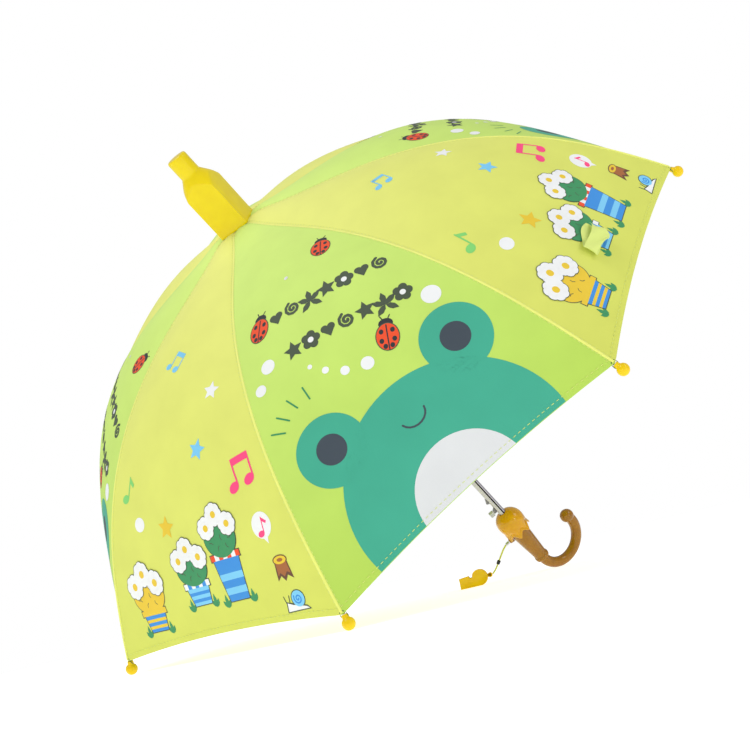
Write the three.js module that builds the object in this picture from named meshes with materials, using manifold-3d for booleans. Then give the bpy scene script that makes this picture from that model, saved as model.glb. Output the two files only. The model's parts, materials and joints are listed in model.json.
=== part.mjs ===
// A child's open umbrella at rest on a floor, on two rib tips and the bend of its crook handle.
// Units are millimetres. The umbrella is drawn in its own frame, with its shaft along Z and the fabric's
// apex at the origin, inside a group that leans it over. The whistle's cord lies in the floor's frame.
import * as THREE from "three";
import { mergeVertices } from "three/addons/utils/BufferGeometryUtils.js";
import Module from "manifold-3d";

const wasm = await Module();
wasm.setup();

// ---------- driving dimensions ----------
const RIBS = 8;
const RIB_L = 470; // fabric length from apex to rib tip
const LEAN = 44.608; // degrees between the shaft and the vertical
const FABRIC = 0.6; // thickness of a fabric panel
const BULGE = 10.8; // how far a gore rises above the straight line between its ribs
const HEM_SAG = 0.0157; // how far a hem rises towards the apex at mid gore, as a share of RIB_L
const PLATEAU = -14.2; // height of the fabric where the rain cover presses it flat
const RIB = { wide: 2.4, deep: 2.4, under: 2.3 }; // under: centreline below the fabric
const PIVOT_R = 11; // radius of the pivots on the crown and the runner
const CROWN_Z = -21;
const JOIN = 190; // from the crown pivot to the stretcher's pivot on the rib
const JOIN_DROP = 2.6;
const STRETCHER = { long: 240, wide: 2.6, thick: 1.6, aside: 2.3 };
const SHAFT = { r: 4.5, wall: 0.6, top: 66, bottom: -565, slot: 1.8, slotAt: -29.5 };
const COVER = { body: 24.2, neck: 11.1, top: 74, neckEnd: 52.5, shoulder: 34.5, base: -13.5, wall: 1.2, ridgeAt: -24 };
const LATCH = { at: -135.2, tooth: -463, button: -479, out: 7.7 };
const SCOOP = { r: 18.3, mid: -505, rim: -517, drip: 5.2, drips: 7 };
const CONE = { top: -500.3, end: -580, r: 12.9, rEnd: 8.7 };
const HOOK = { r: 7, bend: 31.9, sweep: 197, at: 62.5, ball: 9.1 };
const CORD = { r: 1.1 };
const GAP = 0.3;

const rad = THREE.MathUtils.degToRad;
const smooth = (x) => { const t = Math.min(1, Math.max(0, x)); return t * t * (3 - 2 * t); };

// ---------- the rib and fabric curve: slope in degrees below level, along the rib from the apex ----------
const slope = (s) => rad(9 + 25 * Math.exp(-s / 0.07) + 43.5 * smooth((s - 0.14) / 0.86));
const curve = [[0, 0]];
for (let i = 0; i < 400; i++) {
  const a = slope((i + 0.5) / 400), d = RIB_L / 400, [r, z] = curve[i];
  curve.push([r + d * Math.cos(a), z - d * Math.sin(a)]);
}
function along(s) {
  const x = Math.min(399.999, Math.max(0, s * 400)), i = Math.floor(x), f = x - i;
  const r = curve[i][0] * (1 - f) + curve[i + 1][0] * f, z = curve[i][1] * (1 - f) + curve[i + 1][1] * f;
  return { r, z: z - 0.5 * (z - PLATEAU + Math.hypot(z - PLATEAU, 1.5)), a: slope(s) };
}
// a point of a gore: s along it, v across it from -1 to 1, lifted off the fabric's middle by h
function gorePoint(s, v, h, azimuth) {
  const half = Math.PI / RIBS, p = along(s), lift = BULGE * Math.sin(Math.PI * s) * (1 - v * v) + h;
  const out = p.r * Math.cos(half) + lift * Math.sin(p.a), across = v * p.r * Math.sin(half);
  const c = Math.cos(azimuth), n = Math.sin(azimuth);
  return [out * c - across * n, out * n + across * c, p.z + lift * Math.cos(p.a)];
}

// ---------- small helpers ----------
function clean(geometry) {
  geometry.deleteAttribute("normal");
  geometry.deleteAttribute("uv");
  const g = mergeVertices(geometry, 1e-4), p = g.attributes.position, kept = [];
  let volume = 0;
  const [a, b, c] = [new THREE.Vector3(), new THREE.Vector3(), new THREE.Vector3()];
  for (let i = 0; i < g.index.count; i += 3) {
    const t = [g.index.getX(i), g.index.getX(i + 1), g.index.getX(i + 2)];
    if (t[0] === t[1] || t[1] === t[2] || t[2] === t[0]) continue;
    [a, b, c].forEach((v, k) => v.fromBufferAttribute(p, t[k]));
    volume += a.dot(b.cross(c));
    kept.push(t);
  }
  g.setIndex(kept.flatMap((t) => (volume < 0 ? [t[0], t[2], t[1]] : t)));
  return g;
}
const turned = (profile, sides) =>
  clean(new THREE.LatheGeometry([...profile, profile[0]].map(([r, z]) => new THREE.Vector2(r, z)), sides)
    .rotateX(Math.PI / 2));
function shaped(geometry, move) {
  const p = geometry.attributes.position, v = new THREE.Vector3();
  for (let i = 0; i < p.count; i++) {
    move(v.fromBufferAttribute(p, i));
    p.setXYZ(i, v.x, v.y, v.z);
  }
  return geometry;
}
// an outline in the plane of the shaft and one direction round it, given a thickness across that plane
function plate(outline, thick, azimuth, aside = 0) {
  const flat = new THREE.Shape(outline.map(([r, z]) => new THREE.Vector2(r, z)));
  const g = new THREE.ExtrudeGeometry(flat, { depth: thick, bevelEnabled: false });
  return clean(g.translate(0, 0, -thick / 2 - aside).rotateX(Math.PI / 2).rotateZ(azimuth));
}
function solid(geometry) {
  const g = clean(geometry);
  return new wasm.Manifold(new wasm.Mesh({
    numProp: 3, vertProperties: new Float32Array(g.attributes.position.array), triVerts: new Uint32Array(g.index.array) }));
}
function fromSolid(manifold) {
  const m = manifold.getMesh(), g = new THREE.BufferGeometry();
  g.setAttribute("position", new THREE.BufferAttribute(m.vertProperties, 3));
  g.setIndex(new THREE.BufferAttribute(m.triVerts, 1));
  return g;
}
const rod = (r, a, b, sides = 10) => {
  const from = new THREE.Vector3(...a), way = new THREE.Vector3(...b).sub(from), g =
    new THREE.CylinderGeometry(r, r, way.length(), sides).rotateX(Math.PI / 2).translate(0, 0, way.length() / 2);
  g.applyQuaternion(new THREE.Quaternion().setFromUnitVectors(new THREE.Vector3(0, 0, 1), way.normalize()));
  return g.translate(from.x, from.y, from.z);
};
const through = (points) => new THREE.CatmullRomCurve3(points.map((p) => new THREE.Vector3(...p)));
const tube = (path, r, sides, steps) => {
  const section = new THREE.Shape(Array.from({ length: sides }, (_, i) =>
    new THREE.Vector2(r * Math.cos((2 * Math.PI * i) / sides), r * Math.sin((2 * Math.PI * i) / sides))));
  return new THREE.ExtrudeGeometry(section, { steps, bevelEnabled: false, extrudePath: path });
};

const umbrella = new THREE.Group();
const part = new THREE.Group();
part.add(umbrella);
const paint = {};
function finish(slot, color, roughness, metalness = 0) { paint[slot] = [color, roughness, metalness]; }
function add(name, geometry, slot, group = umbrella) {
  const [color, roughness, metalness] = paint[slot];
  const mesh = new THREE.Mesh(geometry, new THREE.MeshStandardMaterial({ color, roughness, metalness, name: slot }));
  mesh.name = name;
  group.add(mesh);
}
finish("lime_fabric", 0xcdee70, 0.7);
finish("yellow_fabric", 0xe8ee74, 0.7);
finish("yellow_plastic", 0xf2d81f, 0.3);
finish("tip_plastic", 0xf2d421, 0.3);
finish("chrome_steel", 0xc8c8c8, 0.12, 1);
finish("black_steel", 0x3a3a3a, 0.4, 1);
finish("black_plastic", 0x2c2c2c, 0.45);
finish("grey_plastic", 0xc6c8ca, 0.4);
finish("amber_plastic", 0xcf9f14, 0.25);
finish("tan_plastic", 0xb07d2b, 0.25);
finish("whistle_plastic", 0xd3ab18, 0.3);
finish("cord_fibre", 0xc9c83d, 0.8);

// ---------- shaft: a rolled tube with an open seam along it, and a window for the catch ----------
{
  const gapHalf = Math.asin(SHAFT.slot / 2 / SHAFT.r), seam = rad(SHAFT.slotAt), ring = [];
  for (let i = 0; i <= 26; i++) ring.push(seam + gapHalf + ((2 * Math.PI - 2 * gapHalf) * i) / 26);
  const inner = SHAFT.r - SHAFT.wall;
  const outline = ring.map((a) => new THREE.Vector2(SHAFT.r * Math.cos(a), SHAFT.r * Math.sin(a)))
    .concat(ring.reverse().map((a) => new THREE.Vector2(inner * Math.cos(a), inner * Math.sin(a))));
  const wall = new THREE.ExtrudeGeometry(new THREE.Shape(outline),
    { depth: SHAFT.top - SHAFT.bottom, bevelEnabled: false }).translate(0, 0, SHAFT.bottom);
  const window = new THREE.BoxGeometry(4, 2.9, 31).translate(SHAFT.r, 0, LATCH.tooth - 4.5).rotateZ(rad(LATCH.at));
  add("shaft", fromSolid(solid(wall).subtract(solid(window))), "chrome_steel");
}

// ---------- crown: the fixed notched ring that the ribs hinge on ----------
const bore = SHAFT.r + 0.35;
add("crown", turned([[bore, -15.6], [13.4, -15.6], [13.4, -17.2], [7.6, -17.4], [7.6, -24.6], [10.2, -24.8],
  [10.2, -26.6], [7.4, -29], [bore, -29]], 16), "black_plastic");

// ---------- rain cover on the ferrule: a four-sided outer sleeve with a neck, and one sleeve nested in it ----------
// four flat sides with rounded ridges: the share of the ridge's radius at an angle round the shaft
const fourSided = (angle) => {
  const t = angle - rad(COVER.ridgeAt) - Math.PI / 4, side = Math.abs(t - (Math.PI / 2) * Math.round(t / (Math.PI / 2)));
  return 1 / Math.pow(Math.pow(Math.cos(side) / Math.SQRT1_2, 14) + 1, 1 / 14);
};
const sleeve = (profile) => shaped(turned(profile, 32), (v) => {
  const k = fourSided(Math.atan2(v.y, v.x));
  v.x *= k;
  v.y *= k;
});
{
  const c = COVER, w = c.wall;
  add("cover_outer", sleeve([[0, c.top], [c.neck - 1.5, c.top], [c.neck, c.top - 1.5], [c.neck, c.neckEnd],
    [c.body, c.shoulder], [c.body, c.base], [c.body - w, c.base], [c.body - w, c.shoulder - 1],
    [c.neck - w, c.neckEnd - 1], [c.neck - w, c.top - 2], [0, c.top - 2]]), "yellow_plastic");
  const r = c.body - w - 0.45;
  add("cover_inner", sleeve([[r, 28], [r, c.base + 3], [r - 1, c.base + 3], [r - 1, 28]]), "yellow_plastic");
}

// ---------- ribs, their tips and the stretchers ----------
const under = (s, drop) => { const p = along(s); return [p.r - drop * Math.sin(p.a), p.z - drop * Math.cos(p.a)]; };
const ribLine = [[PIVOT_R, CROWN_Z], ...Array.from({ length: 14 }, (_, i) => under(0.3 + 0.7 * (i / 13), RIB.under))];
function edges(line, half) {
  const side = (k, sign) => {
    const a = line[Math.max(0, k - 1)], b = line[Math.min(line.length - 1, k + 1)];
    const d = Math.hypot(b[0] - a[0], b[1] - a[1]), n = [-(b[1] - a[1]) / d, (b[0] - a[0]) / d];
    return [line[k][0] + sign * half * n[0], line[k][1] + sign * half * n[1]];
  };
  return [line.map((_, k) => side(k, 1)), line.map((_, k) => side(k, -1))];
}
// a bar along a line with a round eye about its first point, and another about its last if asked
function eyeBar(line, half, eye, bothEnds) {
  const [upper, lower] = edges(line, half), n = line.length - 1, arc = [], far = [];
  const heading = (a, b) => Math.atan2(b[1] - a[1], b[0] - a[0]);
  const start = heading(line[0], line[1]), end = heading(line[n], line[n - 1]), open = Math.asin(half / eye);
  for (let i = 0; i <= 8; i++) {
    const t = open + ((2 * Math.PI - 2 * open) * i) / 8;
    arc.push([line[0][0] + eye * Math.cos(start + t), line[0][1] + eye * Math.sin(start + t)]);
    far.push([line[n][0] + eye * Math.cos(end + t), line[n][1] + eye * Math.sin(end + t)]);
  }
  return [...arc, ...lower.slice(1, bothEnds ? n : n + 1), ...(bothEnds ? far : []),
    ...upper.slice(1, bothEnds ? n : n + 1).reverse()];
}
const endSlope = slope(1), tipFrom = under(1, RIB.under);
let joinAt = null;
for (let i = 1, run = 0; i < ribLine.length && !joinAt; i++) {
  const [a, b] = [ribLine[i - 1], ribLine[i]], d = Math.hypot(b[0] - a[0], b[1] - a[1]);
  if (run + d >= JOIN) {
    const f = (JOIN - run) / d, n = [(b[1] - a[1]) / d, -(b[0] - a[0]) / d];
    joinAt = [a[0] + f * (b[0] - a[0]) + JOIN_DROP * n[0], a[1] + f * (b[1] - a[1]) + JOIN_DROP * n[1]];
  }
  run += d;
}
const RUNNER_Z = joinAt[1] - Math.sqrt(STRETCHER.long ** 2 - (joinAt[0] - PIVOT_R) ** 2);
const tipProfile = [[0, 0], [2.6, 0], [2.9, 0.6], [2.9, 3.4], [4.4, 4.6], [5.5, 6.6], [5.7, 8.4], [5.2, 10.8],
  [3.6, 12.9], [1.6, 13.9], [0, 14.1]];
for (let k = 0; k < RIBS; k++) {
  const az = 2 * Math.PI * (k + 0.5) / RIBS;
  add(`rib_${k + 1}`, plate(eyeBar(ribLine, RIB.deep / 2, 2.2, false), RIB.wide, az), "black_steel");
  const tip = turned(tipProfile, 12).rotateY(Math.PI / 2 + endSlope)
    .translate(tipFrom[0] + GAP * Math.cos(endSlope), 0, tipFrom[1] - GAP * Math.sin(endSlope)).rotateZ(az);
  add(`tip_${k + 1}`, tip, "tip_plastic");
  add(`stretcher_${k + 1}`, plate(eyeBar([[PIVOT_R, RUNNER_Z], joinAt], STRETCHER.wide / 2, 2.3, true),
    STRETCHER.thick, az, STRETCHER.aside), "black_steel");
}

// ---------- canopy: every gore is two half panels that meet at its middle, so it can fold there ----------
for (let k = 0; k < RIBS; k++) {
  for (const side of [-1, 1]) {
    const rib = (k + 0.5) * 2 * Math.PI / RIBS, azimuth = rib + (side * Math.PI) / RIBS, gore = side < 0 ? k : k + 1;
    const panel = new THREE.BoxGeometry(1, 1, FABRIC, 3, 10, 1);
    shaped(panel, (q) => {
      const s = 0.021 + 0.979 * (q.y + 0.5), edge = 0.3 / (along(s).r * Math.sin(Math.PI / RIBS));
      const v = (1 - edge) + (q.x + 0.5) * (edge - (1 - edge));
      const p = gorePoint(s * (1 - HEM_SAG * (1 - v * v)), -side * v, q.z, azimuth);
      q.set(...p);
    });
    const name = `panel_${k + 1}${side < 0 ? "a" : "b"}`;
    add(name, clean(panel), gore % 2 === 0 ? "yellow_fabric" : "lime_fabric");
  }
}

// ---------- tie strap: gathered in a small bunch on one yellow gore ----------
{
  const strap = new THREE.SphereGeometry(1, 12, 8);
  shaped(strap, (q) => {
    const p = gorePoint(0.889 + 0.032 * q.y, -0.153 + 0.15 * q.x, 7.5 + 6 * q.z, 0);
    q.set(...p);
  });
  add("tie_strap", clean(strap), "lime_fabric");
}

// ---------- runner, drive pin and opening spring ----------
{
  const z = RUNNER_Z;
  add("runner", turned([[bore, z + 6], [8.2, z + 6], [9.4, z + 5], [9.4, z + 3.2], [7.6, z + 3], [7.6, z - 3.4],
    [13.4, z - 3.6], [13.4, z - 5.4], [9.8, z - 7], [9.8, z - 36], [8.1, z - 36], [8.1, z - 34.5], [8.8, z - 34.5],
    [8.8, z - 16], [bore, z - 14]], 16), "black_plastic");
  const plug = new THREE.CylinderGeometry(3.5, 3.5, 8, 14).rotateX(Math.PI / 2).translate(0, 0, z - 10);
  const key = new THREE.BoxGeometry(4, 1.2, 5).translate(2.55, 0, z - 10).rotateZ(rad(SHAFT.slotAt));
  add("drive_pin", fromSolid(solid(plug).add(solid(key))), "black_steel");
  const top = z - 10 - 4 - GAP - 0.5, bottom = SHAFT.bottom + 4, turns = 20, coil = [];
  for (let i = 0; i <= turns * 8; i++) {
    const t = (2 * Math.PI * i) / 8;
    coil.push([2.4 * Math.cos(t), 2.4 * Math.sin(t), bottom + ((top - bottom) * i) / (turns * 8)]);
  }
  add("opening_spring", clean(tube(through(coil), 0.45, 4, turns * 8)), "black_steel");
}

// ---------- catch and push button near the handle ----------
{
  const z = LATCH.tooth, b = LATCH.button, az = rad(LATCH.at);
  add("catch_plate", plate([[3.1, z + 13], [3.1, z - 18.5], [3.7, z - 18.5], [3.7, b - 2], [7.9, b - 2], [7.9, b + 2.4],
    [5.4, b + 4.6], [3.7, b + 5.6], [3.7, z - 2.4], [LATCH.out, z], [3.7, z + 10], [3.7, z + 13]], 2, az), "black_steel");
  add("push_button", clean(new THREE.BoxGeometry(6, 5.6, 6.2).translate(11.2, 0, b).rotateZ(az)), "grey_plastic");
}

// ---------- handle: a dripping scoop on a tapered cone, and a crook that ends in a ball ----------
{
  const c = SCOOP, hole = SHAFT.r + 0.4, dome = [];
  for (let i = 0; i <= 9; i++) {
    const t = rad(104 - (i * (104 + 22)) / 9);
    dome.push([c.r * Math.cos(t), c.mid + c.r * Math.sin(t)]);
  }
  dome[0] = [hole, c.mid + 17.7];
  const outer = dome.filter(([r], i) => i === 0 || r > hole + 1);
  const drips = (angle) => Math.pow(Math.abs(Math.cos((c.drips * angle) / 2)), 1.6);
  const scoop = shaped(turned([...outer, [c.r - 1.2, c.rim], [CONE.r + 0.5, c.rim], [CONE.r + 0.5, CONE.top + GAP],
    [hole, CONE.top + GAP]], 42), (v) => {
    if (v.z < c.rim + 1) v.z -= c.drip * drips(Math.atan2(v.y, v.x)) + 0.2 * (v.z - c.rim);
  });
  add("scoop", scoop, "amber_plastic");
  const e = CONE.end;
  add("cone", turned([[hole, CONE.top], [CONE.r, CONE.top], [CONE.r, -518], [CONE.rEnd, e + 7], [9.7, e + 5.6],
    [9.9, e + 2.6], [9.2, e + 0.6], [7, e], [0, e], [0, SHAFT.bottom - 1], [hole, SHAFT.bottom - 1]], 20), "tan_plastic");

  const az = rad(HOOK.at), crook = new THREE.Curve();
  crook.getPoint = (t, at = new THREE.Vector3()) => {
    const turn = t * rad(HOOK.sweep), out = HOOK.bend * (1 - Math.cos(turn));
    return at.set(out * Math.cos(az), out * Math.sin(az), e - GAP - HOOK.bend * Math.sin(turn));
  };
  const ball = new THREE.SphereGeometry(HOOK.ball, 16, 10).translate(...crook.getPoint(1));
  add("hook", fromSolid(solid(tube(crook, HOOK.r, 12, 26)).add(solid(ball))), "tan_plastic");
}

// ---------- tab on the cone for the whistle's ring ----------
const TAB = { z: -527, out: 18.6 };
{
  const az = rad(LATCH.at), w = (z) => CONE.r - ((-518 - z) / (-518 - CONE.end - 7)) * (CONE.r - CONE.rEnd) + 0.35;
  add("cord_tab", plate([[w(TAB.z + 4), TAB.z + 4], [w(TAB.z - 4), TAB.z - 4], [TAB.out - 1, TAB.z - 3], [TAB.out, TAB.z - 1.6],
    [TAB.out, TAB.z + 1.6], [TAB.out - 1, TAB.z + 3]], 3, az), "tan_plastic");
}

// ---------- lean the umbrella over and stand it on the floor ----------
umbrella.rotation.x = rad(LEAN);
part.updateMatrixWorld(true);
const box = new THREE.Box3();
for (const mesh of umbrella.children) box.union(new THREE.Box3().setFromObject(mesh, true));
umbrella.position.set(-(box.min.x + box.max.x) / 2, -(box.min.y + box.max.y) / 2, -box.min.z);

// ---------- metal ferrule, cord, bead and whistle, in the floor's frame: the whistle lies on the floor ----------
const ROUTE = [[-17.35, 187.83, 43.05], [-21.9, 186.3, 38], [-27.8, 185, 30], [-33.4, 183.6, 21.9],
  [-38.4, 182, 15.2], [-42.4, 180.6, 11.3]];
const WHISTLE = { x: -56.5, y: 170.4, r: 10.5, wide: 14, long: 26.4, high: 13.4, lug: 16.6, heading: 215.8 };
const tabEnd = [-13.55, 190.51, 45.7], ferruleEnd = [-16.96, 188.1, 43.33];
add("cord_ferrule", clean(rod(1.9, tabEnd, ferruleEnd, 12)), "chrome_steel", part);
add("cord", clean(tube(through(ROUTE), CORD.r, 8, 16)), "cord_fibre", part);
{
  const [p, q] = [[-30.6, 184.3, 26], [-33.7, 183.5, 21.5]];
  add("bead", fromSolid(solid(rod(2.3, p, q, 12)).subtract(solid(rod(CORD.r + 0.35, [-29.5, 184.6, 27.6],
    [-34.8, 183.2, 19.9], 12)))), "black_plastic", part);
  const w = WHISTLE, low = 0.15, ring = Array.from({ length: 15 }, (_, i) => {
    const t = rad(38 + (232 * i) / 14);
    return [w.r * Math.cos(t), low + w.r + w.r * Math.sin(t)];
  });
  const side = (outline, thick) => plate(outline, thick, rad(w.heading));
  const shell = side([[w.long, low], [w.long, w.high], [12.4, w.high + 0.8], [9.6, w.high - 2.6], ...ring], w.wide);
  const lug = side([[-9, low + 8.4], [-9, low + 12.8], [-w.lug + 1, low + 12.8], [-w.lug, low + 11.8],
    [-w.lug, low + 9.4], [-w.lug + 1, low + 8.4]], 3.4);
  const whistle = fromSolid(solid(shell).add(solid(lug))).translate(w.x, w.y, 0);
  add("whistle", whistle, "whistle_plastic", part);
}
part.updateMatrixWorld(true);

export default part;
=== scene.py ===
import json
from math import asin, atan2, cos, degrees, exp, hypot, pi, radians, sin, sqrt
import bmesh
import bpy
from mathutils import Matrix, Vector


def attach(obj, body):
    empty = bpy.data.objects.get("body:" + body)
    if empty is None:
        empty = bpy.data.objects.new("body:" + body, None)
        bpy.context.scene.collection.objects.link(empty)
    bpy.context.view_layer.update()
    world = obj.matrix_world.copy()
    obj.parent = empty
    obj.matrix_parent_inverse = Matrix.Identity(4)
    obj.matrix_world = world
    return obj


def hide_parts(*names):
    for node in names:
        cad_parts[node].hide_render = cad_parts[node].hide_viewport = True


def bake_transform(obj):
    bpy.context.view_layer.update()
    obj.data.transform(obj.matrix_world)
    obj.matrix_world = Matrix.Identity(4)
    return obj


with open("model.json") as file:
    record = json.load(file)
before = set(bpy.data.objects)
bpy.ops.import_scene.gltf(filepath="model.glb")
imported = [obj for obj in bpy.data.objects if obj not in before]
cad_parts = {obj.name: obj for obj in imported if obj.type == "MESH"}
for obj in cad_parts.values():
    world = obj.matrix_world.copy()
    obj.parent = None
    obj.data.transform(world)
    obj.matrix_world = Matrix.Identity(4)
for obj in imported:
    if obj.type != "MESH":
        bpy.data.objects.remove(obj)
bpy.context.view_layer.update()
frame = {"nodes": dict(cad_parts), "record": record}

# ---------------------------------------------------------------- camera
# A low, slightly tilted view across the floor. It stands 31 mm up, with the umbrella's handle on its right.
camera = bpy.data.objects.new("camera", bpy.data.cameras.new("camera"))
bpy.context.scene.collection.objects.link(camera)
bpy.context.scene.camera = camera
camera.matrix_world = Matrix((
    (0.79028, 0.24905, 0.55986, 0.76821),
    (0.56929, 0.03956, -0.82119, -0.86113),
    (-0.22667, 0.96768, -0.11052, 0.03072),
    (0, 0, 0, 1)))
camera.data.sensor_width, camera.data.lens = 36, 49.02
camera.data.shift_x, camera.data.shift_y = -0.2023, 0.0778
camera.data.clip_start, camera.data.clip_end = 0.01, 50

# ---------------------------------------------------------------- the umbrella's own frame
# The umbrella leans, so its pieces are made upright and then leaned over. Its shaft is the Z axis of that
# frame, the fabric's apex is the origin, and the ribs stand every 45 degrees from 22.5 degrees on.
joints = {j["name"]: j for j in frame["record"]["behaviour"]["joints"]}
shaft_way = Vector(joints["runner_slide"]["axis"]).normalized()
crown_centre = sum((Vector(joints[f"rib_{k}_hinge"]["pos_m"]) for k in range(1, 9)), Vector()) / 8
apex_over_crown = 0.021
apex = crown_centre + apex_over_crown * shaft_way
lean_turn = Matrix((Vector((1, 0, 0)), shaft_way.cross((1, 0, 0)), shaft_way)).transposed()
lean = Matrix.Translation(apex) @ lean_turn.to_4x4()
mm = 0.001


# ---------------------------------------------------------------- whistle's cord
# A thin cord of three twisted polyester strands, 2.2 mm thick, from a crimped metal ferrule on the handle's tab
# down to the lug of the whistle on the floor. It is yellow-green, matt and slightly fuzzy.
def linear(colour):
    """An sRGB hex colour as the linear one that a shader reads."""
    parts = [int(colour[i:i + 2], 16) / 255 for i in (1, 3, 5)]
    return tuple(c / 12.92 if c <= 0.04045 else ((c + 0.055) / 1.055) ** 2.4 for c in parts) + (1,)


def add(material, kind, inputs=None, **settings):
    """Adds one node to a material, with its settings, and its inputs set or linked."""
    made = material.node_tree.nodes.new("ShaderNode" + kind)
    for name, value in settings.items():
        setattr(made, name, value)
    for name, value in (inputs or {}).items():
        if isinstance(value, bpy.types.NodeSocket):
            material.node_tree.links.new(value, made.inputs[name])
        else:
            made.inputs[name].default_value = value
    return made


def finish_named(name):
    """A material of that name, still without a node."""
    material = bpy.data.materials.new(name)
    material.use_nodes = True
    material.node_tree.nodes.clear()
    return material


def made_piece(name, bm, *materials, sharp=35, upright=True):
    """Turns a bmesh into an object at the origin. Upright pieces are leaned over with the umbrella."""
    mesh = bpy.data.meshes.new(name)
    if upright:
        bm.transform(lean)
    bm.to_mesh(mesh)
    bm.free()
    for material in materials:
        mesh.materials.append(material)
    mesh.polygons.foreach_set("use_smooth", [True] * len(mesh.polygons))
    mesh.set_sharp_from_angle(angle=radians(sharp))
    obj = bpy.data.objects.new(name, mesh)
    bpy.context.scene.collection.objects.link(obj)
    return obj


def through(stops, steps):
    """A smooth line through the stops, as points. Each span is a centripetal Catmull-Rom one."""
    stops = [Vector(p) for p in stops]
    ends = [stops[0] * 2 - stops[1], *stops, stops[-1] * 2 - stops[-2]]
    line = []
    for i in range(len(stops) - 1):
        p = ends[i:i + 4]
        t = [0.0]
        for a, b in zip(p, p[1:]):
            t.append(t[-1] + sqrt((b - a).length))
        for n in range(steps + (i == len(stops) - 2)):
            x = t[1] + (t[2] - t[1]) * n / steps
            mix = lambda a, b, ta, tb: a * ((tb - x) / (tb - ta)) + b * ((x - ta) / (tb - ta))
            a = [mix(p[k], p[k + 1], t[k], t[k + 1]) for k in range(3)]
            b = [mix(a[k], a[k + 1], t[k], t[k + 2]) for k in range(2)]
            line.append(mix(b[0], b[1], t[1], t[2]))
    return line


def skin(line, radii, sides, lobes=0, turns=0.0):
    """A closed tube along a line, ring after ring, with a radius for each ring. Lobes and turns make it a
    twisted cord."""
    bm = bmesh.new()
    way = [(line[min(i + 1, len(line) - 1)] - line[max(i - 1, 0)]).normalized() for i in range(len(line))]
    turn = Vector((0, 0, 1)).rotation_difference(way[0])
    stations = []
    for i, (point, radius) in enumerate(zip(line, radii)):
        if i:
            turn = way[i - 1].rotation_difference(way[i]) @ turn
        twist = Matrix.Rotation(2 * pi * turns * i / (len(line) - 1), 4, "Z")
        size = Matrix.Diagonal((radius, radius, 1, 1))
        stations.append(Matrix.Translation(point) @ turn.to_matrix().to_4x4() @ twist @ size)
    ring = bmesh.ops.create_circle(bm, cap_ends=True, segments=sides, radius=1)["verts"]
    if lobes:
        for v in ring:
            v.co *= 0.8 + 0.2 * abs(cos(lobes * atan2(v.co.y, v.co.x) / 2))
    bmesh.ops.transform(bm, matrix=stations[0], verts=ring)
    edges = list(bm.edges)
    for before, after in zip(stations, stations[1:]):
        made = bmesh.ops.extrude_edge_only(bm, edges=edges)["geom"]
        edges = [g for g in made if isinstance(g, bmesh.types.BMEdge) and all(v in made for v in g.verts)]
        verts = [g for g in made if isinstance(g, bmesh.types.BMVert)]
        bmesh.ops.transform(bm, matrix=after @ before.inverted(), verts=verts)
    bmesh.ops.contextual_create(bm, geom=edges)
    bmesh.ops.recalc_face_normals(bm, faces=bm.faces)
    return bm


# polyester cord: the strands' fuzz makes it matt, with a darker tone in the grooves between them
cord_fibre = finish_named("polyester_cord")
spot = add(cord_fibre, "TexCoord").outputs["Object"]
fuzz = add(cord_fibre, "TexNoise", {"Vector": spot, "Scale": 1 / (0.4 * mm), "Detail": 3.0})
tone = add(cord_fibre, "Mix", {0: fuzz.outputs["Fac"], 6: linear("#BDBE22"), 7: linear("#D2D33E")},
           data_type="RGBA")
nap = add(cord_fibre, "Bump", {"Height": fuzz.outputs["Fac"], "Strength": 0.5, "Distance": 0.1 * mm})
body = add(cord_fibre, "BsdfPrincipled", {
    "Base Color": tone.outputs[2], "Roughness": 0.8, "Sheen Weight": 0.2, "Normal": nap.outputs["Normal"]})
add(cord_fibre, "OutputMaterial", {"Surface": body.outputs[0]})

# its route in millimetres, from the handle's ferrule down to the whistle's lug
cord_radius, strands, twists = 1.1 * mm, 3, 7
cord_route = [Vector(p) * mm for p in (
    (-17.35, 187.83, 43.05), (-21.9, 186.3, 38), (-27.8, 185, 30),
    (-33.4, 183.6, 21.9), (-38.4, 182, 15.2), (-42.4, 180.6, 11.3))]
cord_line = through(cord_route, 12)
cord_shape = skin(cord_line, [cord_radius] * len(cord_line), sides=24, lobes=strands, turns=twists)
cord = made_piece("whistle_cord", cord_shape, cord_fibre, sharp=80, upright=False)
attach(cord, "frame")
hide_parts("cord")

# ---------------------------------------------------------------- whistle
# A pea whistle moulded in yellow ABS: a round barrel, a flat mouthpiece with a window behind it, raised
# rims on the barrel's cheeks, and a lug that the cord is knotted into. It lies on the floor.
def moulded_plastic(name, light, dark, roughness=0.28, coat=0.25, grain=1.5, depth=0.15):
    """Glossy moulded plastic: soft highlights, a faint unevenness in its colour, and a slight ripple in the
    gloss. The ripple's grain and depth are in millimetres."""
    material = finish_named(name)
    spot = add(material, "TexCoord").outputs["Object"]
    cloud = add(material, "TexNoise", {"Vector": spot, "Scale": 1 / (14 * mm), "Detail": 2.0})
    speck = add(material, "TexNoise", {
        "Vector": spot, "Scale": 1 / (grain * mm), "Detail": 4.0, "Roughness": 0.6})
    tone = add(material, "Mix", {0: cloud.outputs["Fac"], 6: linear(dark), 7: linear(light)},
               data_type="RGBA")
    gloss = add(material, "MapRange", {
        "Value": speck.outputs["Fac"], "To Min": roughness - 0.03, "To Max": roughness + 0.04})
    ripple = add(material, "Bump", {"Height": cloud.outputs["Fac"], "Strength": 0.3, "Distance": depth * mm})
    body = add(material, "BsdfPrincipled", {
        "Base Color": tone.outputs[2], "Roughness": gloss.outputs[0], "IOR": 1.45,
        "Specular IOR Level": 0.2, "Coat Weight": coat, "Coat Roughness": 0.05,
        "Subsurface Weight": 0.04, "Subsurface Scale": 0.6 * mm, "Normal": ripple.outputs["Normal"]})
    add(material, "OutputMaterial", {"Surface": body.outputs[0]})
    return material


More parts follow.
